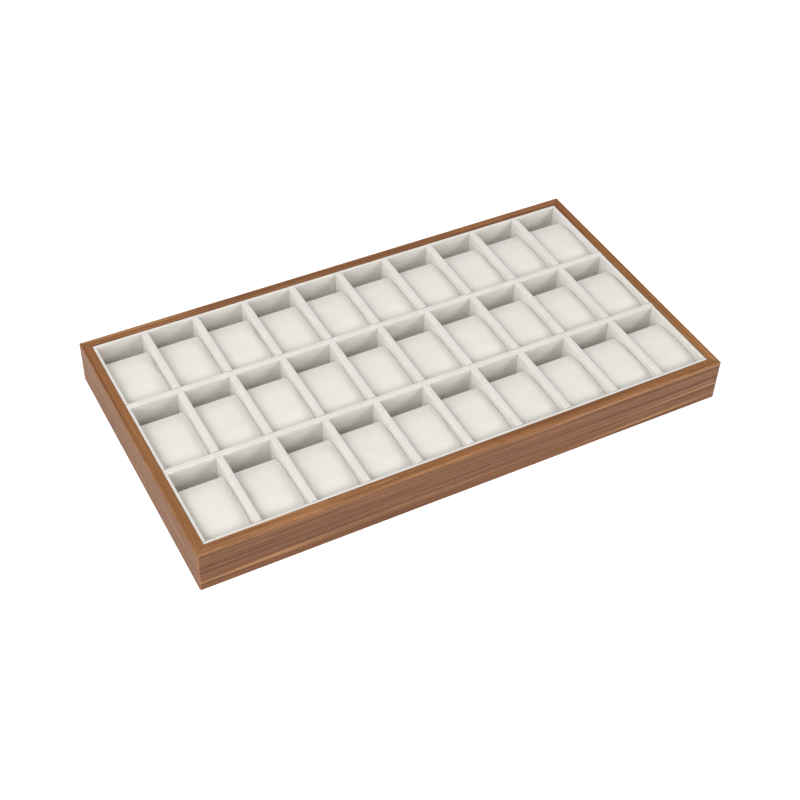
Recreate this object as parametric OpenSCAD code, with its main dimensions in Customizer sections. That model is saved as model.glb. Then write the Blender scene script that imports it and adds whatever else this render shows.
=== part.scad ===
// Shallow display tray: a mitred wooden frame round a fabric-lined interior,
// divided into a grid of compartments with one lift-out cushion in each.
// X runs left to right, Y front to back, Z up. The origin is the centre of the
// footprint, at the level of the surface that the tray stands on.

/* [Overall size] */
// Width of the tray over its frame, left to right
tray_width = 535; // [420:5:660]
// Depth of the tray over its frame, front to back
tray_depth = 292; // [230:2:360]
// Height of the tray over its frame
tray_height = 45; // [36:1:70]

/* [Compartments] */
// Number of compartments from left to right
column_count = 10; // [2:1:10]
// Number of compartments from front to back
row_count = 3; // [2:1:3]
// Thickness of a fabric-covered partition
partition_thickness = 6.8; // [4:0.2:9]
// Thickness of the fabric-covered lining against the frame
liner_thickness = 3.2; // [2:0.2:5]
// How far the tops of the lining and partitions lie below the frame's top
lining_drop = 0.4; // [0:0.1:2]
// Rounding of the partitions' top edges, where the fabric folds over
partition_round = 1.5; // [0.5:0.1:1.9]
// Rounding of the lining's top edges
liner_round = 0.9; // [0.3:0.1:0.9]

/* [Frame] */
// Thickness of a frame rail, outer face to inner face
rail_thickness = 9.5; // [8:0.5:14]
// Rounding of the frame's outer top edges and upright corners
frame_round = 1.3; // [0.5:0.1:2]
// Rounding of the frame's inner top edge
frame_inner_round = 0.7; // [0.3:0.1:1]
// How far the base panel's rebate is cut into each rail
rebate_depth = 5; // [3:0.5:6]
// Thickness of the splines hidden in the mitres
spline_thickness = 2; // [1:0.2:3]
// Length of a spline across its mitre
spline_length = 8; // [5:0.5:9]
// Height of a spline
spline_height = 28; // [15:1:30]

/* [Base] */
// Thickness of the felt on the underside
felt_thickness = 0.8; // [0.5:0.1:2]
// Thickness of the base panel
panel_thickness = 3; // [2:0.5:5]
// Thickness of the fabric-covered floor board
floor_thickness = 2.2; // [1.5:0.1:4]

/* [Cushions] */
// How far the top of a cushion's crown lies below the partitions' tops
cushion_drop = 5; // [3:0.5:12]
// How far the crown rises above the cushion's front and back ends
cushion_crown = 4.8; // [1:0.2:6]
// Gap behind a cushion, for a fingertip
finger_gap = 14.5; // [8:0.5:20]
// Gap in front of a cushion
cushion_front_gap = 1; // [0.3:0.1:4]
// Gap between a cushion and the partition at each side
cushion_side_gap = 0.4; // [0.3:0.1:2]
// Rounding of a cushion's upright corners
cushion_corner_round = 5; // [3:0.5:10]
// Rounding of a cushion's long top edges
cushion_side_round = 8; // [3:0.5:12]
// Rounding of a cushion's bottom edges
cushion_bottom_round = 2.5; // [1:0.5:3]

/* [Clearances] */
// Gap round a board that drops in between others
board_gap = 0.3; // [0.1:0.1:0.8]
// Gap between the faces of a half-lap joint
lap_gap = 0.15; // [0.05:0.05:0.4]
// Gap between a spline and its slot
spline_gap = 0.1; // [0.05:0.05:0.3]
// Gap between a cushion and the floor under it
seat_gap = 0.3; // [0.1:0.1:0.6]

/* [Hidden] */
$fn = 48;
// How far a cutter runs past the face that it opens
overcut = 1;
// Facets of a cushion's long, shallow crown
crown_facets = 240;

inner_width = tray_width - 2 * rail_thickness;
inner_depth = tray_depth - 2 * rail_thickness;
panel_bottom = felt_thickness;
floor_bottom = panel_bottom + panel_thickness;
floor_top = floor_bottom + floor_thickness;
lining_top = tray_height - lining_drop;
lining_height = lining_top - floor_top;
lap_level = floor_top + lining_height / 2;

clear_width = inner_width - 2 * liner_thickness;
clear_depth = inner_depth - 2 * liner_thickness;
cell_width = (clear_width - (column_count - 1) * partition_thickness) / column_count;
cell_length = (clear_depth - (row_count - 1) * partition_thickness) / row_count;
column_pitch = cell_width + partition_thickness;
row_pitch = cell_length + partition_thickness;

cushion_width = cell_width - 2 * cushion_side_gap;
cushion_length = cell_length - finger_gap - cushion_front_gap;
cushion_bottom = floor_top + seat_gap;
cushion_height = lining_top - cushion_drop - cushion_bottom;
crown_radius = pow(cushion_length / 2, 2) / (2 * cushion_crown) + cushion_crown / 2;

frame_colour = "#84593c";
board_colour = "#b08a5e";
felt_colour = "#2e2c2a";
lining_colour = "#d8cfc3";
cushion_colour = "#e3dfd8";

rows = [1 : row_count];
columns = [1 : column_count];
long_partitions = [1 : row_count - 1];
cross_partitions = [1 : column_count - 1];

function cushion_name(row, column) = str("cushion_row", row, "_column", column);
function long_partition_name(index) = str("long_partition_", index);
function cross_partition_name(index) = str("cross_partition_", index);

// Middle of a column, of a row, and of the partition after it
function column_centre(column) = -clear_width / 2 + cell_width / 2 + (column - 1) * column_pitch;
function row_centre(row) = -clear_depth / 2 + cell_length / 2 + (row - 1) * row_pitch;
function cross_partition_x(index) = column_centre(index) + column_pitch / 2;
function long_partition_y(index) = row_centre(index) + row_pitch / 2;

// Square corner at the origin, outside a circle that touches both of its sides
module corner_waste(radius) {
    difference() {
        translate([-overcut, -overcut])
            square(radius + overcut);
        translate([radius, radius])
            circle(radius);
    }
}

// Rectangle with its low corner at the origin, and a rounding at each corner in
// the order bottom left, bottom right, top right, top left; 0 leaves it square
module eased_rectangle(width, height, roundings) {
    difference() {
        square([width, height]);
        for (corner = [0 : 3]) {
            right = corner == 1 || corner == 2;
            top = corner >= 2;
            if (roundings[corner] > 0)
                translate([right ? width : 0, top ? height : 0])
                    mirror([right ? 1 : 0, 0])
                        mirror([0, top ? 1 : 0])
                            corner_waste(roundings[corner]);
        }
    }
}

// Outline in the XZ plane, run along +Y for the given length
module run_along_y(length) {
    translate([0, length, 0])
        rotate([90, 0, 0])
            linear_extrude(length)
                children();
}

// Outline drawn as (Y, Z), run along +X for the given length
module run_along_x(length) {
    rotate([90, 0, 90])
        linear_extrude(length)
            children();
}

// Block with the plan shape of the frame, rounded at its upright corners
module frame_block() {
    translate([-tray_width / 2, -tray_depth / 2, 0])
        linear_extrude(tray_height)
            eased_rectangle(tray_width, tray_depth, [for (corner = [0 : 3]) frame_round]);
}

// Section of a rail from its outer face inwards, with the base panel's rebate
module rail_section() {
    difference() {
        eased_rectangle(rail_thickness, tray_height, [0, 0, frame_inner_round, frame_round]);
        translate([rail_thickness - rebate_depth, -overcut])
            square([rebate_depth + overcut, floor_bottom + overcut]);
    }
}

// Slots for the four mitre splines, larger than the splines by the gap given
module spline_blocks(gap) {
    reach = (rail_thickness + spline_thickness / 2) / 2;
    for (side_x = [-1, 1])
        for (side_y = [-1, 1])
            translate([side_x * (tray_width / 2 - reach), side_y * (tray_depth / 2 - reach), 0])
                rotate([0, 0, -45 * side_x * side_y])
                    translate([-spline_length / 2 - gap, -spline_thickness / 2 - gap, floor_bottom])
                        cube([spline_length + 2 * gap, spline_thickness + 2 * gap, spline_height + gap]);
}

// Rail along the front edge, of the given length, mitred at both ends
module mitred_rail(length) {
    intersection() {
        translate([-length / 2, 0, 0])
            run_along_x(length)
                rail_section();
        linear_extrude(tray_height)
            polygon([
                [-length / 2, 0],
                [length / 2, 0],
                [length / 2 - rail_thickness, rail_thickness],
                [-length / 2 + rail_thickness, rail_thickness]
            ]);
    }
}

// Rail turned to its side of the frame, with its outer face at the given distance
module placed_rail(length, turn, distance) {
    color(frame_colour)
        difference() {
            intersection() {
                rotate([0, 0, turn])
                    translate([0, -distance, 0])
                        mitred_rail(length);
                frame_block();
            }
            spline_blocks(spline_gap);
        }
}

module front_rail() {
    placed_rail(tray_width, 0, tray_depth / 2);
}

module right_rail() {
    placed_rail(tray_depth, 90, tray_width / 2);
}

module back_rail() {
    placed_rail(tray_width, 180, tray_depth / 2);
}

module left_rail() {
    placed_rail(tray_depth, 270, tray_width / 2);
}

module corner_splines() {
    color(board_colour)
        spline_blocks(0);
}

// Flat board centred on the tray, between two levels
module board(width, depth, bottom, thickness) {
    translate([-width / 2, -depth / 2, bottom])
        cube([width, depth, thickness]);
}

module base_panel() {
    spread = 2 * rebate_depth - 2 * board_gap;
    color(board_colour)
        board(inner_width + spread, inner_depth + spread, panel_bottom, panel_thickness);
}

module underside_felt() {
    spread = 2 * rebate_depth - 2 * board_gap;
    color(felt_colour)
        board(inner_width + spread, inner_depth + spread, 0, felt_thickness);
}

module floor_board() {
    color(lining_colour)
        board(inner_width - 2 * board_gap, inner_depth - 2 * board_gap, floor_bottom, floor_thickness);
}

// Upright covered strip along X, with its low left front corner at the origin
module strip_along_x(length, thickness, rounding) {
    run_along_x(length)
        eased_rectangle(thickness, lining_height, [0, 0, rounding, rounding]);
}

// Upright covered strip along Y, with its low left front corner at the origin
module strip_along_y(length, thickness, rounding) {
    run_along_y(length)
        eased_rectangle(thickness, lining_height, [0, 0, rounding, rounding]);
}

// Room in the top half of a strip for each long partition that laps over it
module long_partition_laps() {
    width = partition_thickness + 2 * lap_gap;
    for (index = long_partitions)
        translate([-tray_width / 2, long_partition_y(index) - width / 2, lap_level])
            cube([tray_width, width, tray_height]);
}

// Room in the bottom half of a long partition for one strip of the given thickness
module cross_lap(centre, thickness) {
    width = thickness + 2 * lap_gap;
    translate([centre - width / 2, -tray_depth / 2, floor_top - overcut])
        cube([width, tray_depth, lap_level - floor_top + overcut]);
}

module end_liner(front_face) {
    color(lining_colour)
        translate([-inner_width / 2 + board_gap, front_face, floor_top])
            strip_along_x(inner_width - 2 * board_gap, liner_thickness, liner_round);
}

module front_liner() {
    end_liner(-inner_depth / 2);
}

module back_liner() {
    end_liner(inner_depth / 2 - liner_thickness);
}

module side_liner(left_face) {
    color(lining_colour)
        difference() {
            translate([left_face, -clear_depth / 2 + board_gap, floor_top])
                strip_along_y(clear_depth - 2 * board_gap, liner_thickness, liner_round);
            long_partition_laps();
        }
}

module left_liner() {
    side_liner(-inner_width / 2);
}

module right_liner() {
    side_liner(inner_width / 2 - liner_thickness);
}

module long_partition(index) {
    liner_centre = (inner_width - liner_thickness) / 2;
    color(lining_colour)
        difference() {
            translate([
                -inner_width / 2 + board_gap,
                long_partition_y(index) - partition_thickness / 2,
                floor_top
            ])
                strip_along_x(inner_width - 2 * board_gap, partition_thickness, partition_round);
            for (cross = cross_partitions)
                cross_lap(cross_partition_x(cross), partition_thickness);
            for (side = [-1, 1])
                cross_lap(side * (liner_centre + board_gap), liner_thickness + 2 * board_gap);
        }
}

module cross_partition(index) {
    color(lining_colour)
        difference() {
            translate([
                cross_partition_x(index) - partition_thickness / 2,
                -clear_depth / 2 + board_gap,
                floor_top
            ])
                strip_along_y(clear_depth - 2 * board_gap, partition_thickness, partition_round);
            long_partition_laps();
        }
}

// Side of a cushion, crowned from its front end to its back end
module cushion_side_outline() {
    low = cushion_bottom_round;
    intersection() {
        eased_rectangle(cushion_length, cushion_height, [low, low, 0, 0]);
        translate([cushion_length / 2, cushion_height - crown_radius])
            circle(crown_radius, $fn = crown_facets);
    }
}

// Front of a cushion
module cushion_front_outline() {
    low = cushion_bottom_round;
    high = cushion_side_round;
    eased_rectangle(cushion_width, cushion_height, [low, low, high, high]);
}

// Cushion with its low left front corner at the origin: its plan, its front
// and its side, each run through the other two
module cushion_body() {
    intersection() {
        linear_extrude(cushion_height)
            eased_rectangle(cushion_width, cushion_length, [for (corner = [0 : 3]) cushion_corner_round]);
        run_along_y(cushion_length)
            cushion_front_outline();
        run_along_x(cushion_width)
            cushion_side_outline();
    }
}

module cushion(row, column) {
    color(cushion_colour)
        translate([
            column_centre(column) - cushion_width / 2,
            row_centre(row) - cell_length / 2 + cushion_front_gap,
            cushion_bottom
        ])
            cushion_body();
}

front_rail();
back_rail();
left_rail();
right_rail();
corner_splines();
base_panel();
underside_felt();
floor_board();
front_liner();
back_liner();
left_liner();
right_liner();
for (index = long_partitions)
    long_partition(index);
for (index = cross_partitions)
    cross_partition(index);
for (row = rows)
    for (column = columns)
        cushion(row, column);
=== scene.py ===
import math
import random

import bmesh
import bpy
from mathutils import Matrix, Vector, noise


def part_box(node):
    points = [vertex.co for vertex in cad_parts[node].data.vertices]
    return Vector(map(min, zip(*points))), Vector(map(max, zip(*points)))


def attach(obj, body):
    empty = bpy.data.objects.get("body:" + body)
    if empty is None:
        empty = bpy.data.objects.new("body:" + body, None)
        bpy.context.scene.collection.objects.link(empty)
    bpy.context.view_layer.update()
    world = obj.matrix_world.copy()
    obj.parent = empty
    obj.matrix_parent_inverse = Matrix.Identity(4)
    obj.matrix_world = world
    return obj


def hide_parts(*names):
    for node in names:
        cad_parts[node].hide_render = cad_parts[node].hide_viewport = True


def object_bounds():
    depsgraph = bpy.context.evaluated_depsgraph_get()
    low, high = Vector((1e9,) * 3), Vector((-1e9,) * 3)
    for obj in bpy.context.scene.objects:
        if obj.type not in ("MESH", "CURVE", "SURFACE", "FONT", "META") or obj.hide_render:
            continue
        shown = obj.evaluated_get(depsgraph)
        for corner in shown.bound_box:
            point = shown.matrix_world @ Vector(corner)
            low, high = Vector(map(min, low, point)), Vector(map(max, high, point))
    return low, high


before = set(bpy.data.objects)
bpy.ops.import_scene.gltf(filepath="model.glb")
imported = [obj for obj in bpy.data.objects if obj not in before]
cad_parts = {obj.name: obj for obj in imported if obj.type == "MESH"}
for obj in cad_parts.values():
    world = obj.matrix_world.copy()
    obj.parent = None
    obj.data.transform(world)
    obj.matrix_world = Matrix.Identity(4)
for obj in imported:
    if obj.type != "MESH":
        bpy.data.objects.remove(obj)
cad_low, cad_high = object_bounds()


# ---------------------------------------------------------------------------
# Frame rails: four lengths of board wrapped in a printed walnut foil, mitred and
# glued at the corners. The grain runs along each rail and turns at the mitres,
# and the foil is paler along its outer top edges and upright corners: partly wear
# from handling, partly a painted highlight.

MM = 0.001

# Tones of the sides, and the height at which each lies as a share of the rail's height.
# The threads are the pale lines between two cuts of the veneer leaf.
FACE_DEEP = (0.130, 0.049, 0.020)
FACE_MID = (0.145, 0.057, 0.022)
FACE_WARM = (0.146, 0.056, 0.019)
FACE_SOFT = (0.178, 0.074, 0.032)
THREAD_DULL = (0.205, 0.086, 0.036)
THREAD_SOFT = (0.210, 0.093, 0.038)
THREAD_BRIGHT = (0.365, 0.175, 0.070)
FACE_FIGURE = (
    (0.000, FACE_WARM),
    (0.212, FACE_WARM),
    (0.232, THREAD_SOFT),
    (0.250, FACE_MID),
    (0.320, FACE_DEEP),
    (0.480, FACE_DEEP),
    (0.515, THREAD_DULL),
    (0.540, FACE_DEEP),
    (0.660, FACE_MID),
    (0.745, FACE_SOFT),
    (0.760, THREAD_SOFT),
    (0.775, FACE_MID),
    (0.905, FACE_MID),
    (0.925, THREAD_BRIGHT),
    (0.945, FACE_MID),
    (1.000, FACE_WARM),
)

# Tones of the tops, from the darkest band of the grain to the palest.
TOP_DEEP = (0.178, 0.070, 0.026)
TOP_MID = (0.258, 0.109, 0.040)
TOP_WARM = (0.278, 0.118, 0.044)
TOP_GOLD = (0.365, 0.168, 0.064)
TOP_FIGURE = (
    (0.00, TOP_DEEP),
    (0.25, TOP_MID),
    (0.50, TOP_WARM),
    (0.78, TOP_MID),
    (0.88, TOP_GOLD),
    (1.00, TOP_WARM),
)

# Features per metre along the grain and across it.
BAND_DENSITY = (2.2, 95)
STREAK_DENSITY = (9, 620)
THREAD_DENSITY = (0.9, 150)
PORE_DENSITY = (70, 1300)
WANDER_DENSITY = (4.5, 30)
RUB_DENSITY = (60, 60)

# How far the side figure climbs along a rail, and how far it strays.
FIGURE_SLANT = 0.22
FIGURE_WANDER = 0.035
GRAIN_DRIFT = math.radians(0.5)
THREAD_WIDTH = 0.022
UPWARD_FROM = 0.55
UPWARD_TO = 0.85

PLAIN_FACE = (0.165, 0.063, 0.018, 1)
GRAIN_LINE = (0.560, 0.300, 0.130, 1)
GRAIN_PORE = (0.085, 0.036, 0.018, 1)
GLUE_LINE = (0.060, 0.030, 0.018, 1)
# Paler colour of the outer edges: partly wear, partly a painted highlight.
EDGE_WEAR_AND_HIGHLIGHT = (0.470, 0.240, 0.105, 1)
EDGE_WIDTH = 1.5 * MM
EDGE_WEAR_AND_HIGHLIGHT_SHARE = 0.55
GLUE_WIDTH = 0.35 * MM
GLUE_SHARE = 0.7
SMOOTH_STREAK = 0.44
ROUGH_STREAK = 0.56
PORE_RELIEF = 0.08 * MM
PORE_STRENGTH = 0.25

# The long rails show the figure, and the short ones are cut from a plainer leaf.
FIGURED_LEAF = {"plain": 0.0, "streaks": 0.21, "lines": 0.5, "pores": 0.5, "gloss": 0.22}
PLAIN_LEAF = {"plain": 0.85, "streaks": 0.10, "lines": 0.18, "pores": 0.25, "gloss": 0.12}


def add_node(tree, kind, sockets=None, **settings):
    """Adds a node. A socket is given a plain value, or another node's output to link from."""
    made = tree.nodes.new(kind)
    for name, value in settings.items():
        setattr(made, name, value)
    for name, value in (sockets or {}).items():
        if isinstance(value, bpy.types.NodeSocket):
            tree.links.new(value, made.inputs[name])
        else:
            made.inputs[name].default_value = value
    return made


def new_group(name, inputs, outputs):
    """Starts a shader node group and returns its tree, its input node and its output node."""
    tree = bpy.data.node_groups.new(name, "ShaderNodeTree")
    for title, kind, value in inputs:
        socket = tree.interface.new_socket(title, in_out="INPUT", socket_type=kind)
        socket.default_value = value
    for title, kind in outputs:
        tree.interface.new_socket(title, in_out="OUTPUT", socket_type=kind)
    return tree, tree.nodes.new("NodeGroupInput"), tree.nodes.new("NodeGroupOutput")


def new_material(name):
    """Starts a material and returns it with its tree and its Principled node."""
    material = bpy.data.materials.new(name)
    material.use_nodes = True
    return material, material.node_tree, material.node_tree.nodes["Principled BSDF"]


def scaled(tree, vector, density):
    """A vector stretched to the given features per metre along and across the grain."""
    along, across = density
    return add_node(
        tree,
        "ShaderNodeVectorMath",
        {0: vector, 1: (along, across, across)},
        operation="MULTIPLY",
    ).outputs[0]


def remap(tree, value, low, high, new_low=0.0, new_high=1.0):
    """A value taken smoothly from one range to another."""
    return add_node(
        tree,
        "ShaderNodeMapRange",
        {"Value": value, "From Min": low, "From Max": high, "To Min": new_low, "To Max": new_high},
        interpolation_type="SMOOTHSTEP",
    ).outputs["Result"]


def maths(tree, operation, first, second=0.0):
    """One sum on two values."""
    return add_node(tree, "ShaderNodeMath", {0: first, 1: second}, operation=operation).outputs[0]


def mixed(tree, share, first, second, blend="MIX"):
    """Two colours mixed by a share. The node's sockets share names, so they are set by place."""
    made = tree.nodes.new("ShaderNodeMix")
    made.data_type = "RGBA"
    made.blend_type = blend
    for place, value in ((0, share), (6, first), (7, second)):
        if isinstance(value, bpy.types.NodeSocket):
            tree.links.new(value, made.inputs[place])
        else:
            made.inputs[place].default_value = value
    return made.outputs[2]


def noise_value(tree, vector, detail=2.0, roughness=0.5):
    """Soft noise, one feature per unit of the vector."""
    return add_node(
        tree,
        "ShaderNodeTexNoise",
        {"Vector": vector, "Scale": 1.0, "Detail": detail, "Roughness": roughness},
    ).outputs["Fac"]


# Group: straight wood grain. Bands are its broad tones, streaks its fine ones,
# lines the few long pale threads, and pores the short dark dashes.
grain, grain_in, grain_out = new_group(
    "straight_grain",
    [("Place", "NodeSocketVector", (0, 0, 0))],
    [(title, "NodeSocketFloat") for title in ("Bands", "Streaks", "Lines", "Pores")],
)
place = grain_in.outputs["Place"]
bands = noise_value(grain, scaled(grain, place, BAND_DENSITY), detail=3.0, roughness=0.55)
streaks = noise_value(grain, scaled(grain, place, STREAK_DENSITY), detail=3.0, roughness=0.6)
thread = noise_value(grain, scaled(grain, place, THREAD_DENSITY), detail=0.0)
thread_gap = maths(grain, "ABSOLUTE", maths(grain, "SUBTRACT", thread, 0.5))
pore = noise_value(grain, scaled(grain, place, PORE_DENSITY), detail=1.0)
for title, value in (
    ("Bands", remap(grain, bands, 0.32, 0.68)),
    ("Streaks", remap(grain, streaks, 0.30, 0.70)),
    ("Lines", remap(grain, thread_gap, 0.0, THREAD_WIDTH, 1.0, 0.0)),
    ("Pores", remap(grain, pore, 0.60, 0.74)),
):
    grain.links.new(value, grain_out.inputs[title])

# Group: marks that follow the frame. Wear And Highlight is 1 near its outer top edges and upright
# corners, where it paints partly wear and partly a highlight, and Mitre is 1 along the glue lines of
# the four corner joints.
marks, marks_in, marks_out = new_group(
    "frame_marks",
    [
        ("Place", "NodeSocketVector", (0, 0, 0)),
        ("Half Size", "NodeSocketVector", (1, 1, 1)),
        ("Edge Width", "NodeSocketFloat", 0.001),
        ("Glue Width", "NodeSocketFloat", 0.001),
    ],
    [("Wear And Highlight", "NodeSocketFloat"), ("Mitre", "NodeSocketFloat")],
)
spread = add_node(
    marks,
    "ShaderNodeVectorMath",
    {0: marks_in.outputs["Place"]},
    operation="ABSOLUTE",
)
inset = add_node(
    marks,
    "ShaderNodeVectorMath",
    {0: marks_in.outputs["Half Size"], 1: spread.outputs[0]},
    operation="SUBTRACT",
)
sides = add_node(marks, "ShaderNodeSeparateXYZ", {0: inset.outputs[0]})
nearest = maths(marks, "MINIMUM", sides.outputs["X"], sides.outputs["Y"])
furthest = maths(marks, "MAXIMUM", sides.outputs["X"], sides.outputs["Y"])
top_edge = maths(marks, "ADD", nearest, sides.outputs["Z"])
upright_edge = maths(marks, "ADD", nearest, furthest)
edge = maths(marks, "MINIMUM", top_edge, upright_edge)
reach = maths(marks, "DIVIDE", edge, marks_in.outputs["Edge Width"])
patchy = noise_value(marks, scaled(marks, marks_in.outputs["Place"], RUB_DENSITY), detail=3.0)
# Painted highlight and wear: 1 at the outer edges, fading out over the edge width, made patchy by
# noise.
edge_nearness = remap(marks, reach, 0.2, 1.0, 1.0, 0.0)
wear_and_highlight = maths(marks, "MULTIPLY", edge_nearness, remap(marks, patchy, 0.3, 0.6, 0.35, 1.0))
marks.links.new(wear_and_highlight, marks_out.inputs["Wear And Highlight"])
off_joint = maths(marks, "SUBTRACT", sides.outputs["X"], sides.outputs["Y"])
joint_reach = maths(
    marks, "DIVIDE", maths(marks, "ABSOLUTE", off_joint), marks_in.outputs["Glue Width"]
)
marks.links.new(remap(marks, joint_reach, 0.3, 1.0, 1.0, 0.0), marks_out.inputs["Mitre"])


def add_bump(tree, shader, height, strength, distance):
    """Bump of the given strength and depth from a height."""
    bump = add_node(
        tree,
        "ShaderNodeBump",
        {"Height": height, "Strength": strength, "Distance": distance},
    )
    tree.links.new(bump.outputs["Normal"], shader.inputs["Normal"])


def colour_ramp(tree, value, stops):
    """A colour ramp with the given stops."""
    made = add_node(tree, "ShaderNodeValToRGB", {"Fac": value})
    ramp = made.color_ramp
    ramp.elements[0].position = stops[0][0]
    ramp.elements[0].color = (*stops[0][1], 1)
    ramp.elements[1].position = stops[-1][0]
    ramp.elements[1].color = (*stops[-1][1], 1)
    for position, colour in stops[1:-1]:
        ramp.elements.new(position).color = (*colour, 1)
    return made.outputs["Color"]


def walnut_foil(name, turn, leaf):
    """Walnut foil whose grain runs along X, or along Y after a quarter turn.

    Its sides carry the slanting figure of one veneer leaf, fainter on the plainer leaf,
    and its top the redder figure of another."""
    material, tree, shader = new_material(name)
    coordinates = add_node(tree, "ShaderNodeTexCoord")
    spot = coordinates.outputs["Object"]
    turned = add_node(
        tree,
        "ShaderNodeMapping",
        {"Vector": spot, "Rotation": (GRAIN_DRIFT, GRAIN_DRIFT, turn)},
    ).outputs[0]
    grain_node = add_node(tree, "ShaderNodeGroup", node_tree=grain)
    tree.links.new(turned, grain_node.inputs["Place"])
    marks_node = add_node(tree, "ShaderNodeGroup", node_tree=marks)
    tree.links.new(spot, marks_node.inputs["Place"])
    marks_node.inputs["Half Size"].default_value = cad_high
    marks_node.inputs["Edge Width"].default_value = EDGE_WIDTH
    marks_node.inputs["Glue Width"].default_value = GLUE_WIDTH
    facing = add_node(tree, "ShaderNodeSeparateXYZ", {0: coordinates.outputs["Normal"]})
    upward = remap(tree, facing.outputs["Z"], UPWARD_FROM, UPWARD_TO)

    along = add_node(tree, "ShaderNodeSeparateXYZ", {0: turned})
    height = maths(tree, "DIVIDE", along.outputs["Z"], cad_high.z)
    slant = maths(tree, "MULTIPLY", along.outputs["X"], FIGURE_SLANT)
    wander = noise_value(tree, scaled(tree, turned, WANDER_DENSITY), detail=2.0)
    wander = maths(tree, "MULTIPLY", maths(tree, "SUBTRACT", wander, 0.5), 2 * FIGURE_WANDER)
    level = maths(tree, "ADD", maths(tree, "ADD", height, wander), slant)
    face = mixed(tree, leaf["plain"], colour_ramp(tree, level, FACE_FIGURE), PLAIN_FACE)
    top = colour_ramp(tree, grain_node.outputs["Bands"], TOP_FIGURE)
    colour = mixed(tree, upward, face, top)

    streaks = grain_node.outputs["Streaks"]
    shade = remap(tree, streaks, 0.0, 1.0, 1 - leaf["streaks"], 1 + leaf["streaks"])
    grey = add_node(tree, "ShaderNodeCombineXYZ", {0: shade, 1: shade, 2: shade}).outputs[0]
    colour = mixed(tree, 1.0, colour, grey, "MULTIPLY")
    line_share = maths(tree, "MULTIPLY", grain_node.outputs["Lines"], leaf["lines"])
    colour = mixed(tree, line_share, colour, GRAIN_LINE)
    pore_share = maths(tree, "MULTIPLY", grain_node.outputs["Pores"], leaf["pores"])
    colour = mixed(tree, pore_share, colour, GRAIN_PORE)
    # Outer edges mixed towards a paler colour: partly wear, partly a painted highlight.
    wear_and_highlight_share = maths(tree, "MULTIPLY", marks_node.outputs["Wear And Highlight"], EDGE_WEAR_AND_HIGHLIGHT_SHARE)
    colour = mixed(tree, wear_and_highlight_share, colour, EDGE_WEAR_AND_HIGHLIGHT)
    glue_on_top = maths(tree, "MULTIPLY", marks_node.outputs["Mitre"], upward)
    colour = mixed(tree, maths(tree, "MULTIPLY", glue_on_top, GLUE_SHARE), colour, GLUE_LINE)
    tree.links.new(colour, shader.inputs["Base Color"])

    roughness = remap(tree, streaks, 0.0, 1.0, ROUGH_STREAK, SMOOTH_STREAK)
    tree.links.new(roughness, shader.inputs["Roughness"])
    relief = maths(tree, "SUBTRACT", streaks, grain_node.outputs["Pores"])
    add_bump(tree, shader, relief, PORE_STRENGTH, PORE_RELIEF)
    shader.inputs["Specular IOR Level"].default_value = leaf["gloss"]
    return material


def dress(node_name, material):
    """Gives a CAD node one material."""
    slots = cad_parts[node_name].data.materials
    slots.clear()
    slots.append(material)


foil_along_x = walnut_foil("walnut_foil_long", 0.0, FIGURED_LEAF)
foil_along_y = walnut_foil("walnut_foil_short", math.pi / 2, PLAIN_LEAF)
for rail in ("front_rail", "back_rail"):
    dress(rail, foil_along_x)
for rail in ("left_rail", "right_rail"):
    dress(rail, foil_along_y)


# ---------------------------------------------------------------------------
# Corner splines and base panel: bare pressed board. The splines are glued into
# slots across the mitres, and the panel into the rebate under the rails.

BOARD_DARK = (0.240, 0.140, 0.065, 1)
BOARD_LIGHT = (0.420, 0.270, 0.140, 1)
BOARD_FIBRES = (900, 900)
BOARD_CLOUDS = (45, 45)
BOARD_ROUGHNESS = 0.85
BOARD_STRENGTH = 0.4
BOARD_RELIEF = 0.1 * MM


def pressed_board(name):
    """Fine brown fibres pressed flat, with darker flecks."""
    material, tree, shader = new_material(name)
    spot = add_node(tree, "ShaderNodeTexCoord").outputs["Object"]
    fibres = noise_value(tree, scaled(tree, spot, BOARD_FIBRES), detail=4.0, roughness=0.7)
    clouds = noise_value(tree, scaled(tree, spot, BOARD_CLOUDS), detail=2.0)
    fibre_tone = remap(tree, fibres, 0.3, 0.7)
    cloud_tone = remap(tree, clouds, 0.2, 0.8, 0.6, 1.0)
    tone = maths(tree, "MULTIPLY", fibre_tone, cloud_tone)
    tree.links.new(mixed(tree, tone, BOARD_DARK, BOARD_LIGHT), shader.inputs["Base Color"])
    add_bump(tree, shader, fibres, BOARD_STRENGTH, BOARD_RELIEF)
    shader.inputs["Roughness"].default_value = BOARD_ROUGHNESS
    return material


board = pressed_board("pressed_board")
dress("corner_splines", board)
dress("base_panel", board)


# ---------------------------------------------------------------------------
# Underside felt: one thin sheet of dark felt, cut a little short of the rebate
# and glued under the base panel so that the tray doesn't scratch what it is on.

FELT_DARK = (0.012, 0.011, 0.010, 1)
FELT_LIGHT = (0.058, 0.053, 0.048, 1)
FELT_HAIRS = (1400, 1400)
FELT_MATTING = (55, 55)
FELT_ROUGHNESS = 0.95
FELT_GLOSS = 0.1
FELT_SHEEN = 0.08
FELT_STRENGTH = 0.7
FELT_RELIEF = 0.3 * MM
FELT_CELL = 6 * MM
FELT_WANDER = 0.25 * MM
FELT_WANDER_SIZE = 25 * MM
TOUCH = 0.01 * MM
SEED_STRIDE = (7.3, 3.1, 5.7)
SHARP_CORNER = math.radians(40)


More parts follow.
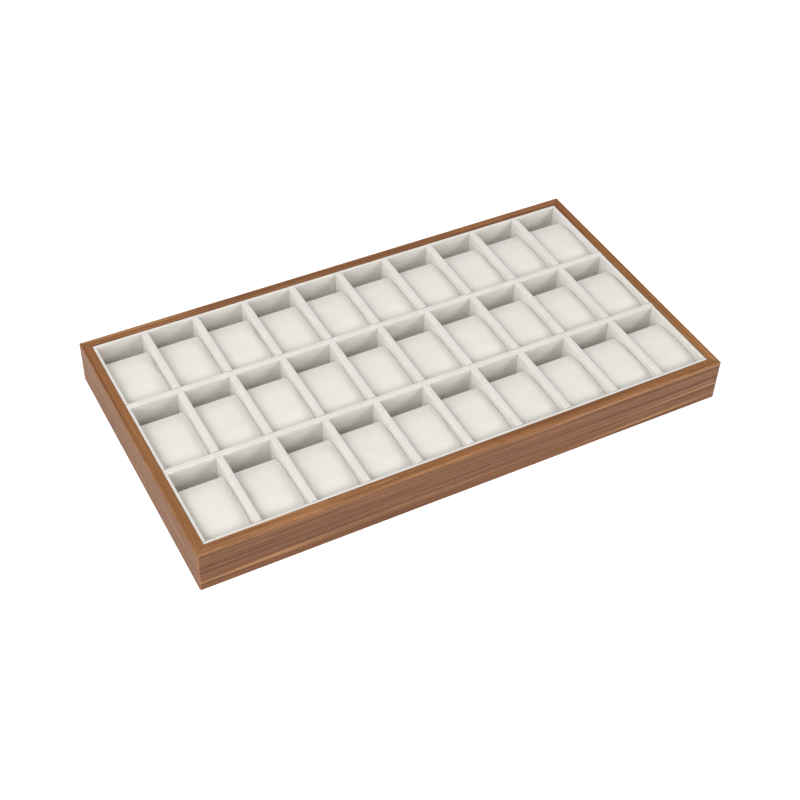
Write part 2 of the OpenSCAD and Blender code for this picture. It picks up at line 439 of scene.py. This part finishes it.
def grid_block(name, low, high, cells):
    """Closed box of even quads in the row frame, with so many cells along X, Y and Z."""
    mesh = bmesh.new()
    corners = {}

    def corner(step):
        if step not in corners:
            share = [step[axis] / cells[axis] for axis in range(3)]
            corners[step] = mesh.verts.new(
                [low[axis] + (high[axis] - low[axis]) * share[axis] for axis in range(3)]
            )
        return corners[step]

    for axis in range(3):
        u, v = (axis + 1) % 3, (axis + 2) % 3
        for side in (0, cells[axis]):
            for i in range(cells[u]):
                for j in range(cells[v]):
                    ring = [(i, j), (i + 1, j), (i + 1, j + 1), (i, j + 1)]
                    if side == 0:
                        ring.reverse()
                    quad = []
                    for a, b in ring:
                        step = [0, 0, 0]
                        step[axis], step[u], step[v] = side, a, b
                        quad.append(corner(tuple(step)))
                    mesh.faces.new(quad)
    return finished(name, mesh)


def finished(name, mesh):
    """Turns a bmesh into a linked object with smooth faces and sharp corners."""
    data = bpy.data.meshes.new(name)
    mesh.to_mesh(data)
    mesh.free()
    piece = bpy.data.objects.new(name, data)
    bpy.context.scene.collection.objects.link(piece)
    data.shade_smooth()
    data.set_sharp_from_angle(angle=SHARP_CORNER)
    return piece


def soft_noise(spot, size, seed):
    """Smooth noise from -1 to 1 with features of the given size, moved on for each seed."""
    return noise.noise(Vector(spot) / size + Vector([seed * stride for stride in SEED_STRIDE]))


def felt_cloth(name):
    """Matted wool fibres, dark grey, with lighter hairs."""
    material, tree, shader = new_material(name)
    spot = add_node(tree, "ShaderNodeTexCoord").outputs["Object"]
    hairs = noise_value(tree, scaled(tree, spot, FELT_HAIRS), detail=5.0, roughness=0.75)
    matting = noise_value(tree, scaled(tree, spot, FELT_MATTING), detail=5.0, roughness=0.65)
    hair_tone = remap(tree, hairs, 0.35, 0.75, 0.3, 1.0)
    matted_tone = remap(tree, matting, 0.35, 0.65, 0.15, 1.0)
    tone = maths(tree, "MULTIPLY", hair_tone, matted_tone)
    tree.links.new(mixed(tree, tone, FELT_DARK, FELT_LIGHT), shader.inputs["Base Color"])
    add_bump(tree, shader, hairs, FELT_STRENGTH, FELT_RELIEF)
    shader.inputs["Roughness"].default_value = FELT_ROUGHNESS
    shader.inputs["Specular IOR Level"].default_value = FELT_GLOSS
    shader.inputs["Sheen Weight"].default_value = FELT_SHEEN
    return material


felt_low, felt_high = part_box("underside_felt")
felt_size = felt_high - felt_low
felt_cells = (round(felt_size.x / FELT_CELL), round(felt_size.y / FELT_CELL), 2)
felt = grid_block("felt_underside", felt_low, felt_high, felt_cells)
for vertex in felt.data.vertices:
    for axis in (0, 1):
        middle = (felt_low[axis] + felt_high[axis]) / 2
        if abs(abs(vertex.co[axis] - middle) - felt_size[axis] / 2) < TOUCH:
            wander = (1 + soft_noise(vertex.co, FELT_WANDER_SIZE, seed=1)) / 2 * FELT_WANDER
            vertex.co[axis] -= math.copysign(wander, vertex.co[axis] - middle)
felt.data.materials.append(felt_cloth("felt_cloth"))
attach(felt, "tray")
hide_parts("underside_felt")


# ---------------------------------------------------------------------------
# Floor board: thin card wrapped in the lining's microfibre, dropped in between
# the rails and glued to the base panel. It shows in the gap behind each cushion.

LINING_SHADE = (0.620, 0.592, 0.555, 1)
LINING_TONE = (0.750, 0.722, 0.682, 1)
NAP_CLOUD = 14 * MM
FUZZ_DENSITY = (1500, 1500)
PILE_DEPTH = 0.15 * MM
PILE_STRENGTH = 0.45
CLOTH_GLOSS = 0.2
CLOTH_SHEEN = 0.12
CLOTH_SHEEN_ROUGHNESS = 0.6
CARD_CELL = 7 * MM
CARD_WAVE = 0.08 * MM
CARD_WAVE_SIZE = 40 * MM

# Group: brushed microfibre. Nap is the cloudy tone that brushing leaves, and fuzz
# is the fine pile.
nap, nap_in, nap_out = new_group(
    "microfibre_nap",
    [("Place", "NodeSocketVector", (0, 0, 0)), ("Cloud Size", "NodeSocketFloat", 0.012)],
    [("Nap", "NodeSocketFloat"), ("Fuzz", "NodeSocketFloat")],
)
cloud_place = add_node(
    nap,
    "ShaderNodeVectorMath",
    {0: nap_in.outputs["Place"], 1: nap_in.outputs["Cloud Size"]},
    operation="DIVIDE",
)
clouds = noise_value(nap, cloud_place.outputs[0], detail=4.0, roughness=0.6)
fuzz = noise_value(nap, scaled(nap, nap_in.outputs["Place"], FUZZ_DENSITY), detail=4.0, roughness=0.7)
nap.links.new(remap(nap, clouds, 0.3, 0.7), nap_out.inputs["Nap"])
nap.links.new(fuzz, nap_out.inputs["Fuzz"])


def microfibre(name, shade, tone, cloud_size, depth):
    """Brushed microfibre between two close tones, with the given pile depth."""
    material, tree, shader = new_material(name)
    spot = add_node(tree, "ShaderNodeTexCoord").outputs["Object"]
    nap_node = add_node(tree, "ShaderNodeGroup", node_tree=nap)
    tree.links.new(spot, nap_node.inputs["Place"])
    nap_node.inputs["Cloud Size"].default_value = cloud_size
    pile = remap(tree, nap_node.outputs["Fuzz"], 0.25, 0.75, 0.55, 1.0)
    brushed = remap(tree, nap_node.outputs["Nap"], 0.0, 1.0, 0.7, 1.0)
    colour = mixed(tree, maths(tree, "MULTIPLY", brushed, pile), shade, tone)
    tree.links.new(colour, shader.inputs["Base Color"])
    rough = remap(tree, nap_node.outputs["Nap"], 0.0, 1.0, 0.98, 0.86)
    tree.links.new(rough, shader.inputs["Roughness"])
    add_bump(tree, shader, nap_node.outputs["Fuzz"], PILE_STRENGTH, depth)
    shader.inputs["Specular IOR Level"].default_value = CLOTH_GLOSS
    shader.inputs["Sheen Weight"].default_value = CLOTH_SHEEN
    shader.inputs["Sheen Roughness"].default_value = CLOTH_SHEEN_ROUGHNESS
    return material


lining_cloth = microfibre("lining_microfibre", LINING_SHADE, LINING_TONE, NAP_CLOUD, PILE_DEPTH)

card_low, card_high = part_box("floor_board")
card_size = card_high - card_low
card_cells = (round(card_size.x / CARD_CELL), round(card_size.y / CARD_CELL), 1)
floor_card = grid_block("covered_floor_board", card_low, card_high, card_cells)
for vertex in floor_card.data.vertices:
    if vertex.co.z > card_high.z - TOUCH:
        vertex.co.z -= (1 + soft_noise(vertex.co, CARD_WAVE_SIZE, seed=2)) / 2 * CARD_WAVE
floor_card.data.materials.append(lining_cloth)
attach(floor_card, "tray")
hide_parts("floor_board")


# ---------------------------------------------------------------------------
# Lining strips: card wrapped in microfibre, glued upright against the rails. The
# front and back strips run the full width, and the side strips fit between them.

STRIP_STATION = 4 * MM
STRIP_LEVELS = 7
ROUND_STEPS = 4
FLAT_START = 0.35 * MM
STRIP_WAVE = 0.12 * MM
STRIP_WAVE_SIZE = 22 * MM
EDGE_WAVE = 0.35 * MM
EDGE_WAVE_SIZE = 16 * MM
EDGE_SEED = 9
LINER_ROUND = 0.9 * MM
LINER_SEED = 20
LAP_GAP = 0.15 * MM
CUT_MARGIN = 2 * MM
LONG_PARTITIONS = sorted(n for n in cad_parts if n.startswith("long_partition"))


def strip_section(thickness, height, rounding):
    """Outline of a covered strip seen from its end: square below, rounded at both top edges."""
    half = thickness / 2
    shoulder = height - rounding
    left = [(-half, shoulder * i / STRIP_LEVELS) for i in range(STRIP_LEVELS)]
    arc = [math.pi / 2 * i / ROUND_STEPS for i in range(ROUND_STEPS + 1)]
    left += [
        (-half + rounding * (1 - math.cos(turn)), shoulder + rounding * math.sin(turn)) for turn in arc
    ]
    left += [(-half + rounding + FLAT_START, height)]
    return left + [(-across, up) for across, up in reversed(left)]


def covered_strip(name, node_name, rounding, seed):
    """A fabric-covered strip along its node's long side, with the cloth's slight waves."""
    low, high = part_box(node_name)
    size = high - low
    along = 0 if size.x > size.y else 1
    across = 1 - along
    section = strip_section(size[across], size.z, rounding)
    count = max(2, round(size[along] / STRIP_STATION))
    mesh = bmesh.new()
    rings = []
    for station in range(count + 1):
        ring = []
        for offset, up in section:
            spot = Vector((0, 0, low.z + up))
            spot[along] = low[along] + size[along] * station / count
            spot[across] = (low[across] + high[across]) / 2 + offset
            lift = min(1.0, up / size.z * 2)
            inward = -math.copysign(1, offset) if offset else 0
            wave = (1 + soft_noise(spot, STRIP_WAVE_SIZE, seed)) / 2 * STRIP_WAVE * lift
            spot[across] += inward * wave
            if up > size.z - rounding:
                spot.z -= (1 + soft_noise(spot, EDGE_WAVE_SIZE, seed + EDGE_SEED)) / 2 * EDGE_WAVE
            ring.append(mesh.verts.new(spot))
        rings.append(ring)
    total = len(section)
    for one, two in zip(rings, rings[1:]):
        for i in range(total):
            j = (i + 1) % total
            mesh.faces.new((one[i], one[j], two[j], two[i]))
    mesh.faces.new(list(reversed(rings[0])))
    mesh.faces.new(rings[-1])
    bmesh.ops.recalc_face_normals(mesh, faces=mesh.faces)
    bmesh.ops.triangulate(mesh, faces=mesh.faces)
    return finished(name, mesh)


def cut_boxes(piece, boxes):
    """Takes boxes out of a piece, each given by its lowest and highest corners."""
    mesh = bmesh.new()
    for low, high in boxes:
        centre, size = (low + high) / 2, high - low
        matrix = Matrix.Translation(centre) @ Matrix.Diagonal((*size, 1))
        bmesh.ops.create_cube(mesh, size=1, matrix=matrix)
    cutter = finished("cutter", mesh)
    cut = piece.modifiers.new("cut", "BOOLEAN")
    cut.operation = "DIFFERENCE"
    cut.solver = "EXACT"
    cut.object = cutter
    depsgraph = bpy.context.evaluated_depsgraph_get()
    baked = bpy.data.meshes.new_from_object(piece.evaluated_get(depsgraph))
    piece.modifiers.clear()
    piece.data = baked
    baked.set_sharp_from_angle(angle=SHARP_CORNER)
    bpy.data.objects.remove(cutter)


def place_strip(piece, node_name):
    piece.data.materials.clear()
    piece.data.materials.append(lining_cloth)
    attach(piece, "tray")
    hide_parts(node_name)


def top_laps(node_name):
    """Boxes that free the top half of a strip where the long partitions cross it."""
    low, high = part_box(node_name)
    boxes = []
    for partition in LONG_PARTITIONS:
        bar_low, bar_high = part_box(partition)
        boxes.append(
            (
                Vector((low.x - CUT_MARGIN, bar_low.y - LAP_GAP, (low.z + high.z) / 2)),
                Vector((high.x + CUT_MARGIN, bar_high.y + LAP_GAP, high.z + CUT_MARGIN)),
            )
        )
    return boxes


LINERS = ("front_liner", "back_liner", "left_liner", "right_liner")
for seed, liner in enumerate(LINERS, start=LINER_SEED):
    strip = covered_strip("covered_" + liner, liner, LINER_ROUND, seed)
    if liner.startswith(("left", "right")):
        cut_boxes(strip, top_laps(liner))
    place_strip(strip, liner)


# ---------------------------------------------------------------------------
# Partitions: thicker card wrapped in the same microfibre. The two long ones slot
# down over the nine cross ones in half-laps, so the long ones look unbroken.

PARTITION_ROUND = 1.3 * MM
LONG_SEED = 40
CROSS_SEED = 60
CROSS_PARTITIONS = sorted(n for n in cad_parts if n.startswith("cross_partition"))


def bottom_laps(node_name):
    """Boxes that free the bottom half of a long partition where strips pass under it."""
    low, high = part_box(node_name)
    boxes = []
    for crossing in CROSS_PARTITIONS + ["left_liner", "right_liner"]:
        strip_low, strip_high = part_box(crossing)
        boxes.append(
            (
                Vector((strip_low.x - LAP_GAP, low.y - CUT_MARGIN, low.z - CUT_MARGIN)),
                Vector((strip_high.x + LAP_GAP, high.y + CUT_MARGIN, (low.z + high.z) / 2)),
            )
        )
    return boxes


for seed, partition in enumerate(LONG_PARTITIONS, start=LONG_SEED):
    strip = covered_strip("covered_" + partition, partition, PARTITION_ROUND, seed)
    cut_boxes(strip, bottom_laps(partition))
    place_strip(strip, partition)
for seed, partition in enumerate(CROSS_PARTITIONS, start=CROSS_SEED):
    strip = covered_strip("covered_" + partition, partition, PARTITION_ROUND, seed)
    cut_boxes(strip, top_laps(partition))
    place_strip(strip, partition)


# ---------------------------------------------------------------------------
# Cushions: foam blocks in a sewn sleeve of pale microfibre, one to a compartment,
# lying loose. The back end is a flat panel sewn in tight, so its edge is straight.
# The rest swells and rounds over at the front, and painted shade darkens its cloth along the sides,
# next to the partitions.

CUSHION_SHADE = (0.670, 0.652, 0.612, 1)
CUSHION_TONE = (0.765, 0.747, 0.705, 1)
CUSHION_CLOUD = 22 * MM
CUSHION_PILE = 0.2 * MM
BLACK = (0, 0, 0, 1)
CUSHION_CELLS = (22, 30, 9)
EVEN_CELLS = 0.4
CUSHION_FORMS = 5
CROWN_RISE = 4.8 * MM
CROWN_SPARE = 0.7 * MM
SIDE_FLATNESS = 4.0
SIDE_DROP = (0.38, 0.50)
SHOULDER_DROP = 0.5 * MM
SHOULDER_ROUND = 3.5 * MM
SHOULDER_CREASE = 0.9
BACK_CREASE = 0.85
BACK_SWELL = 21 * MM
BACK_FLATNESS = 1.8
FRONT_SWELL = 24 * MM
FRONT_FLATNESS = 2.6
FRONT_DROP = 2.5 * MM
CORNER_FLATNESS = 3.2
BACK_CORNER = 1.2 * MM
FRONT_CORNER = 8.5 * MM
BOTTOM_ROUND = 2.4 * MM
BOTTOM_FLATNESS = 6
PRESS = 0.3 * MM
FOAM_LUMPS = 0.35 * MM
FOAM_LUMP_SIZE = 15 * MM
LUMP_START = 10 * MM
LUMP_SEED_UP = 100
LUMP_SEED_SIDE = 200
SEAM_INSET = 1.1 * MM
SEAM_WIDTH = 0.9 * MM
SEAM_DEPTH = 0.16 * MM
PUCKER_PITCH = 4.2 * MM
PUCKER_SHARE = 0.35
PIN_REACH = 0.1 * MM
SLEEVE_STIFFNESS = 15
SLEEVE_BENDING = 0.5
PUFF_PRESSURE = 4.0
PUFF_FRAMES = 20
SWELL_CAP = 1.2 * MM
# Painted shade: the cushion cloth is darkened towards its sides, fading out over this reach, by at
# most this share.
PAINTED_SHADE_REACH = 12 * MM
PAINTED_SHADE_DARKNESS = 0.09
SEAM_CORNER = math.radians(50)
TOP_SPARE = 1.0 * MM
WALL_GAP = 0.1 * MM
FRONT_GAP = 0.3 * MM
DICE_SEED = 11
PUSH = 0.4 * MM
LEAST_FULL = 0.94
CUSHIONS = sorted(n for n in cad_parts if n.startswith("cushion_"))


def quarter_round(reach, length):
    """0 at the edge and 1 from the given length on, along a quarter of an ellipse."""
    share = min(1.0, max(0.0, reach / length))
    return math.sqrt(1 - (1 - share) ** 2)


def eased(share):
    """Smooth step from 0 to 1."""
    share = min(1.0, max(0.0, share))
    return share * share * (3 - 2 * share)


def crowded(share):
    """Spreads even shares from 0 to 1 so that they crowd towards both ends."""
    return EVEN_CELLS * share + (1 - EVEN_CELLS) / 2 * (1 - math.cos(math.pi * share))


def end_swell(reach, length, flatness):
    """How far the sleeve has swollen at a distance from its end, from 0 to 1."""
    return 1 - (1 - min(1.0, reach / length)) ** flatness


def sleeve_point(share, half_width, length, end_height, side_drop):
    """A point of the sewn sleeve for a point of the unit cube, back end at +Y, bottom at 0."""
    along = length * crowded(share[1])
    across = 2 * crowded(share[0]) - 1
    from_front, from_back = along, length - along
    belly = 1 - side_drop * abs(across) ** SIDE_FLATNESS
    front = end_swell(from_front, FRONT_SWELL, FRONT_FLATNESS)
    back = end_swell(from_back, BACK_SWELL, BACK_FLATNESS)
    rise = (CROWN_RISE + CROWN_SPARE) * back * front
    roof = end_height + rise * belly
    roof -= SHOULDER_DROP * (1 - quarter_round((1 - abs(across)) * half_width, SHOULDER_ROUND))
    roof -= FRONT_DROP * (1 - front) * (1 + abs(across) ** CORNER_FLATNESS)
    side = half_width - BACK_CORNER * (1 - quarter_round(from_back, BACK_CORNER))
    side -= FRONT_CORNER * (1 - quarter_round(from_front, FRONT_CORNER))
    ground = BOTTOM_ROUND * (1 - math.sqrt(1 - abs(across) ** BOTTOM_FLATNESS))
    height = ground + (roof - ground) * share[2]
    return Vector((across * side, along - length / 2, height))


def sew_ends(form, size):
    """Sinks the two end seams into the sleeve, with the small puckers that sewing leaves."""
    for vertex in form.data.vertices:
        reach = size.y / 2 - abs(vertex.co.y)
        depth = 1 - abs(reach - SEAM_INSET) / SEAM_WIDTH
        if depth > 0:
            around = (vertex.co.x + vertex.co.z) / PUCKER_PITCH
            pucker = 1 - PUCKER_SHARE * (1 + math.cos(2 * math.pi * around)) / 2
            inward = Vector((-vertex.co.x, 0, size.z / 2 - vertex.co.z)).normalized()
            vertex.co += inward * SEAM_DEPTH * eased(depth) * pucker


def add_lumps(form, length, seed):
    """Lets the foam's slight lumps show through the cover, less near the back and the bottom."""
    for vertex in form.data.vertices:
        calm = eased((length / 2 - vertex.co.y) / BACK_SWELL) * eased(vertex.co.z / LUMP_START)
        rise = soft_noise(vertex.co, FOAM_LUMP_SIZE, LUMP_SEED_UP + seed)
        vertex.co.z += FOAM_LUMPS * rise * calm
        bulge = soft_noise(vertex.co, FOAM_LUMP_SIZE, LUMP_SEED_SIDE + seed)
        vertex.co.x += FOAM_LUMPS * bulge * calm


def puff(form, tight_end, pressed):
    """Swells a sleeve by a cloth simulation. Its tight end is held, and pressed sides stay put."""
    rest = [vertex.co.copy() for vertex in form.data.vertices]
    pinned = form.vertex_groups.new(name="tight_end")
    pinned.add(tight_end, 1.0, "REPLACE")
    cloth = form.modifiers.new("puff", "CLOTH")
    cloth.settings.vertex_group_mass = pinned.name
    cloth.settings.use_pressure = True
    cloth.settings.uniform_pressure_force = PUFF_PRESSURE
    cloth.settings.tension_stiffness = SLEEVE_STIFFNESS
    cloth.settings.compression_stiffness = SLEEVE_STIFFNESS
    cloth.settings.bending_stiffness = SLEEVE_BENDING
    cloth.settings.effector_weights.gravity = 0
    for step in range(1, PUFF_FRAMES + 1):
        bpy.context.scene.frame_set(step)
    depsgraph = bpy.context.evaluated_depsgraph_get()
    swollen = bpy.data.meshes.new_from_object(form.evaluated_get(depsgraph))
    form.modifiers.clear()
    form.vertex_groups.clear()
    bpy.context.scene.frame_set(1)
    for vertex, moved, before in zip(form.data.vertices, swollen.vertices, rest):
        step = moved.co - before
        step.length = min(step.length, SWELL_CAP)
        if vertex.index in pressed:
            step.x = 0
        vertex.co = before + step
    bpy.data.meshes.remove(swollen)


def smooth_over(form, firm_rims):
    """Rounds the form by one subdivision, less along the rims that are given with a crease."""
    creases = form.data.attributes.new("crease_edge", "FLOAT", "EDGE")
    for edge in form.data.edges:
        for rim, crease in firm_rims:
            if set(edge.vertices) <= rim:
                creases.data[edge.index].value = crease
    smooth = form.modifiers.new("smooth", "SUBSURF")
    smooth.levels = 1
    smooth.render_levels = 1
    depsgraph = bpy.context.evaluated_depsgraph_get()
    form.data = bpy.data.meshes.new_from_object(form.evaluated_get(depsgraph))
    form.modifiers.clear()


def stuffed_form(name, size, room, seed):
    """One stuffed sleeve, centred in plan with its bottom at 0.

    The room is how far a side, the front and the top may swell beyond the CAD size."""
    side = size.x / 2 + room.x
    length = size.y - PRESS
    end_height = size.z - CROWN_RISE
    low_drop, high_drop = SIDE_DROP
    side_drop = low_drop + (high_drop - low_drop) * seed / (CUSHION_FORMS - 1)
    form = grid_block(name, Vector((0, 0, 0)), Vector((1, 1, 1)), CUSHION_CELLS)
    pressed = {v.index for v in form.data.vertices if v.co.x in (0, 1)}
    shoulder = {i for i in pressed if form.data.vertices[i].co.z == 1}
    back_rim = {v.index for v in form.data.vertices if v.co.y == 1 and v.co.z == 1}
    for vertex in form.data.vertices:
        vertex.co = sleeve_point(vertex.co.copy(), side + PRESS, length, end_height, side_drop)
    tight_end = [v.index for v in form.data.vertices if v.co.y > length / 2 - PIN_REACH]
    add_lumps(form, length, seed)
    puff(form, tight_end, pressed)
    for vertex in form.data.vertices:
        vertex.co.x = max(-side, min(side, vertex.co.x))
        vertex.co.y = max(-size.y / 2 - room.y, min(size.y / 2, vertex.co.y))
        vertex.co.z = max(0.0, min(size.z + room.z, vertex.co.z))
    smooth_over(form, ((shoulder, SHOULDER_CREASE), (back_rim, BACK_CREASE)))
    sew_ends(form, size)
    # Painted shade: 1 at each side of the cushion, fading to 0 within the reach. The material darkens
    # the cloth by it.
    side_shade_mask = form.data.attributes.new("painted_side_shade", "FLOAT", "POINT")
    for vertex in form.data.vertices:
        reach = side - abs(vertex.co.x)
        side_shade_mask.data[vertex.index].value = 1 - eased(reach / PAINTED_SHADE_REACH)
    form.data.shade_smooth()
    form.data.set_sharp_from_angle(angle=SEAM_CORNER)
    return form


def painted_side_shade_microfibre(name, shade, tone):
    """Microfibre with painted shade: a little darker near the sides, where the cushion turns over
    against the partitions.
    """
    material = microfibre(name, shade, tone, CUSHION_CLOUD, CUSHION_PILE)
    tree = material.node_tree
    colour = tree.nodes["Principled BSDF"].inputs["Base Color"]
    side_shade_mask = add_node(tree, "ShaderNodeAttribute", attribute_name="painted_side_shade").outputs["Fac"]
    # Painted shade mixed into the cloth colour towards black.
    darkening = maths(tree, "MULTIPLY", side_shade_mask, PAINTED_SHADE_DARKNESS)
    even_colour = colour.links[0].from_socket
    tree.links.new(mixed(tree, darkening, even_colour, BLACK), colour)
    return material


cushion_cloth = painted_side_shade_microfibre("cushion_microfibre", CUSHION_SHADE, CUSHION_TONE)
first_low, first_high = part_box("cushion_row1_column1")
cushion_size = first_high - first_low
side_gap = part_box("cross_partition_1")[0].x - first_high.x
front_gap = first_low.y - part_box("front_liner")[1].y
room = Vector((side_gap - WALL_GAP, front_gap - FRONT_GAP, TOP_SPARE))
forms = [stuffed_form(f"form_{seed}", cushion_size, room, seed) for seed in range(CUSHION_FORMS)]
dice = random.Random(DICE_SEED)
for name in CUSHIONS:
    low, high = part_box(name)
    form = forms[dice.randrange(CUSHION_FORMS)]
    mesh = form.data.copy()
    mirror = dice.choice((-1, 1))
    push = dice.uniform(-PUSH, PUSH)
    fullness = dice.uniform(LEAST_FULL, 1.0)
    for vertex in mesh.vertices:
        vertex.co.x *= mirror
        vertex.co.y += push
        vertex.co.z *= 1 - (1 - fullness) * eased(vertex.co.z / cushion_size.z)
    if mirror < 0:
        mesh.flip_normals()
    mesh.transform(Matrix.Translation(((low.x + high.x) / 2, (low.y + high.y) / 2, low.z)))
    cushion = bpy.data.objects.new("stuffed_" + name, mesh)
    bpy.context.scene.collection.objects.link(cushion)
    mesh.materials.append(cushion_cloth)
    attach(cushion, "loose_" + name)
    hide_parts(name)
for form in forms:
    bpy.data.objects.remove(form)


# ---------------------------------------------------------------------------
# Studio: a pale room with a white floor that is clear from below, a large soft light
# on the left, smaller ones at the front right and above, and the camera, which looks
# down at the tray from the front, a little to the left.

VIEW_TURN = math.radians(-29.68)
VIEW_RISE = math.radians(43.87)
VIEW_ROLL = math.radians(2.404)
VIEW_DISTANCE = 1.4146
VIEW_SHIFT = Vector((0.00027, -0.0125))
LENS = 65.68
SENSOR = 36.0
FILL_WHITE = (1.0, 0.992, 0.982)
ROOM_LIGHT = 0.445
FLOOR_WHITE = (0.92, 0.92, 0.92, 1)
FLOOR_ROUGHNESS = 0.9
FLOOR_GLOW = 0.55
FLOOR_REACH = 6.0
FLOOR_DROP = 0.1 * MM
FLOOR_SIGNS = ((-1, -1), (1, -1), (1, 1), (-1, 1))


def studio_camera():
    """The camera, set by its turn, rise, roll and distance round the tray."""
    back = Vector(
        (
            math.sin(VIEW_TURN) * math.cos(VIEW_RISE),
            -math.cos(VIEW_TURN) * math.cos(VIEW_RISE),
            math.sin(VIEW_RISE),
        )
    )
    right = Vector((0, 0, 1)).cross(back).normalized()
    up = back.cross(right)
    rolled_right = right * math.cos(VIEW_ROLL) + up * math.sin(VIEW_ROLL)
    rolled_up = up * math.cos(VIEW_ROLL) - right * math.sin(VIEW_ROLL)
    data = bpy.data.cameras.new("studio_camera")
    data.sensor_width = SENSOR
    data.lens = LENS
    camera = bpy.data.objects.new("studio_camera", data)
    bpy.context.scene.collection.objects.link(camera)
    turn = Matrix((rolled_right, rolled_up, back)).transposed().to_4x4()
    place = rolled_right * VIEW_SHIFT.x + rolled_up * VIEW_SHIFT.y + back * VIEW_DISTANCE
    camera.matrix_world = Matrix.Translation(place) @ turn
    bpy.context.scene.camera = camera


def soft_light(name, place, size, power, colour):
    """A square soft light, aimed at the tray."""
    data = bpy.data.lights.new(name, "AREA")
    data.shape = "SQUARE"
    data.size = size
    data.energy = power
    data.color = colour
    light = bpy.data.objects.new(name, data)
    bpy.context.scene.collection.objects.link(light)
    light.location = place
    light.rotation_euler = Vector(place).to_track_quat("Z", "Y").to_euler()


studio_camera()
soft_light("key_light", place=(-2.43, -1.12, 1.71), size=2.34, power=66, colour=(1.0, 0.990, 0.980))
soft_light("front_light", place=(1.65, -2.10, 1.26), size=0.9, power=26, colour=FILL_WHITE)
soft_light("top_light", place=(-0.2, 0.5, 1.9), size=1.0, power=9.5, colour=FILL_WHITE)

world = bpy.data.worlds.new("pale_room")
world.use_nodes = True
room_tree = world.node_tree
seen = add_node(room_tree, "ShaderNodeLightPath").outputs["Is Camera Ray"]
strength = remap(room_tree, seen, 0.0, 1.0, ROOM_LIGHT, 1.0)
room_tree.links.new(strength, room_tree.nodes["Background"].inputs["Strength"])
room_tree.nodes["Background"].inputs["Color"].default_value = (1, 1, 1, 1)
bpy.context.scene.world = world

floor_data = bpy.data.meshes.new("studio_floor")
floor_corners = [(x * FLOOR_REACH, y * FLOOR_REACH, -FLOOR_DROP) for x, y in FLOOR_SIGNS]
floor_data.from_pydata(floor_corners, [], [(0, 1, 2, 3)])
studio_floor = bpy.data.objects.new("studio_floor", floor_data)
bpy.context.scene.collection.objects.link(studio_floor)
floor_material, floor_tree, floor_shader = new_material("studio_white")
floor_shader.inputs["Base Color"].default_value = FLOOR_WHITE
floor_shader.inputs["Roughness"].default_value = FLOOR_ROUGHNESS
floor_shader.inputs["Emission Color"].default_value = (1, 1, 1, 1)
floor_shader.inputs["Emission Strength"].default_value = FLOOR_GLOW
below = add_node(floor_tree, "ShaderNodeNewGeometry").outputs["Backfacing"]
clear = add_node(floor_tree, "ShaderNodeBsdfTransparent").outputs[0]
one_sided = add_node(
    floor_tree,
    "ShaderNodeMixShader",
    {0: below, 1: floor_shader.outputs[0], 2: clear},
)
floor_tree.links.new(one_sided.outputs[0], floor_tree.nodes["Material Output"].inputs["Surface"])
floor_data.materials.append(floor_material)
bpy.context.scene.view_settings.view_transform = "Standard"
